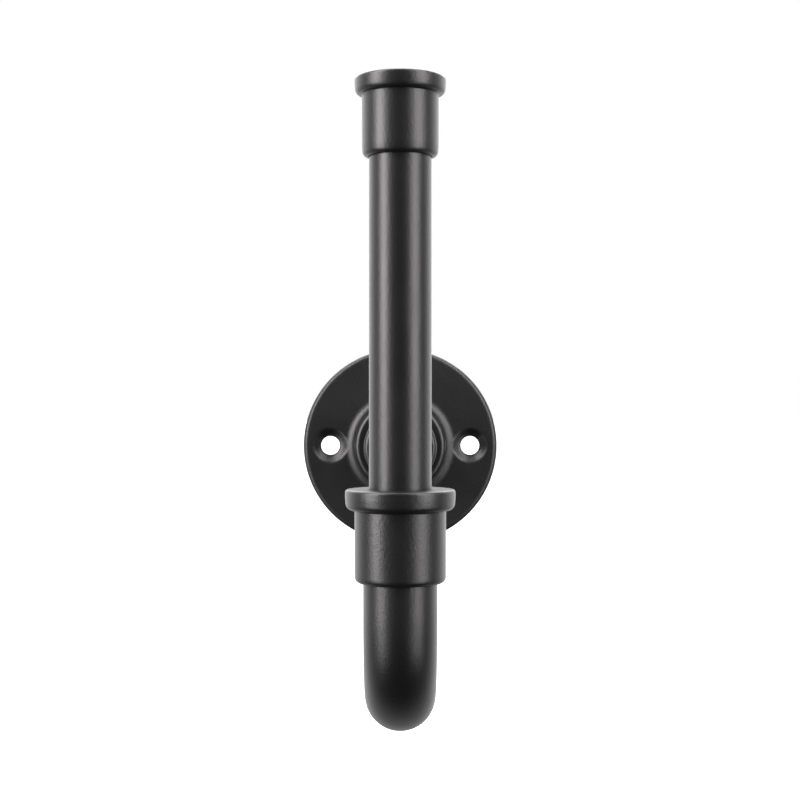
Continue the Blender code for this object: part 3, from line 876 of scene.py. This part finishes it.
def make_camera():
    """A level camera straight in front of the holder."""
    camera = bpy.data.objects.new("camera", bpy.data.cameras.new("camera"))
    camera.data.sensor_width = CAMERA_SENSOR
    camera.data.lens = CAMERA_LENS
    camera.location = (CAMERA_SIDE, PIPE_AXIS - CAMERA_DISTANCE, CAMERA_HEIGHT)
    camera.rotation_euler = (math.pi / 2, 0.0, 0.0)
    bpy.context.scene.collection.objects.link(camera)
    bpy.context.scene.camera = camera


def make_soft_box(name, azimuth, elevation, distance, size, radiance):
    """A rectangular soft box at an azimuth from the camera's side, turned to the pipe."""
    lamp = bpy.data.lights.new(name, "AREA")
    lamp.shape = "RECTANGLE"
    lamp.color = BOX_COLOUR
    lamp.size, lamp.size_y = size
    lamp.energy = radiance * math.pi * size[0] * size[1]
    box = bpy.data.objects.new(name, lamp)
    around, above = math.radians(azimuth), math.radians(elevation)
    out = Vector((math.sin(around) * math.cos(above), -math.cos(around) * math.cos(above), math.sin(above)))
    box.location = Vector((0.0, PIPE_AXIS, BOX_AIM_HEIGHT)) + out * distance
    box.rotation_euler = out.to_track_quat("Z", "Y").to_euler()
    box.visible_camera = False
    bpy.context.scene.collection.objects.link(box)


def make_world():
    """White to the camera. To the object it is white behind, dim in front and dark below."""
    world = bpy.data.worlds.new("white_cove")
    world.use_nodes = True
    tree = world.node_tree
    nodes, links = tree.nodes, tree.links
    direction = nodes.new("ShaderNodeSeparateXYZ")
    links.new(nodes.new("ShaderNodeTexCoord").outputs["Generated"], direction.inputs[0])
    shares = []
    for axis, (low, high), (dim, bright) in (
            ("Y", COVE_TURN, COVE_FRONT_TO_BACK), ("Z", COVE_RISE, COVE_LOW_TO_HIGH)):
        ramp = nodes.new("ShaderNodeMapRange")
        ramp.interpolation_type = "SMOOTHSTEP"
        ramp.inputs["From Min"].default_value = low
        ramp.inputs["From Max"].default_value = high
        ramp.inputs["To Min"].default_value = dim
        ramp.inputs["To Max"].default_value = bright
        links.new(direction.outputs[axis], ramp.inputs["Value"])
        shares.append(ramp.outputs["Result"])
    cove = nodes["Background"]
    links.new(math_node(tree, "MULTIPLY", *shares), cove.inputs["Strength"])
    cove.inputs["Color"].default_value = WHITE
    page = nodes.new("ShaderNodeBackground")
    page.inputs["Color"].default_value = WHITE
    mix = nodes.new("ShaderNodeMixShader")
    links.new(nodes.new("ShaderNodeLightPath").outputs["Is Camera Ray"], mix.inputs["Fac"])
    links.new(cove.outputs["Background"], mix.inputs[1])
    links.new(page.outputs["Background"], mix.inputs[2])
    links.new(mix.outputs["Shader"], nodes["World Output"].inputs["Surface"])
    bpy.context.scene.world = world


def make_floor():
    """A plain white floor, lit enough of itself to run into the white behind."""
    mesh = bpy.data.meshes.new("floor")
    half = FLOOR_SIZE / 2
    corners = [(-half, -half, 0), (half, -half, 0), (half, half, 0), (-half, half, 0)]
    mesh.from_pydata(corners, [], [(0, 1, 2, 3)])
    mesh.transform(Matrix.Translation((0.0, 0.0, FLOOR_HEIGHT)))
    material = bpy.data.materials.new("white_floor")
    material.use_nodes = True
    shader = material.node_tree.nodes["Principled BSDF"]
    shader.inputs["Base Color"].default_value = FLOOR_COLOUR
    shader.inputs["Roughness"].default_value = FLOOR_ROUGHNESS
    shader.inputs["Emission Color"].default_value = WHITE
    shader.inputs["Emission Strength"].default_value = 1.0
    mesh.materials.append(material)
    floor = bpy.data.objects.new("floor", mesh)
    floor.visible_glossy = False
    floor.visible_diffuse = False
    floor.visible_shadow = False
    bpy.context.scene.collection.objects.link(floor)


def make_studio():
    """White cove, floor, soft boxes and camera."""
    bpy.context.scene.view_settings.view_transform = "Standard"
    make_world()
    make_floor()
    for name, box in SOFT_BOXES.items():
        make_soft_box(name, *box)
    make_camera()


FINISHES = make_finishes()
THREAD_TREE = thread_tree()
make_pieces()
make_studio()
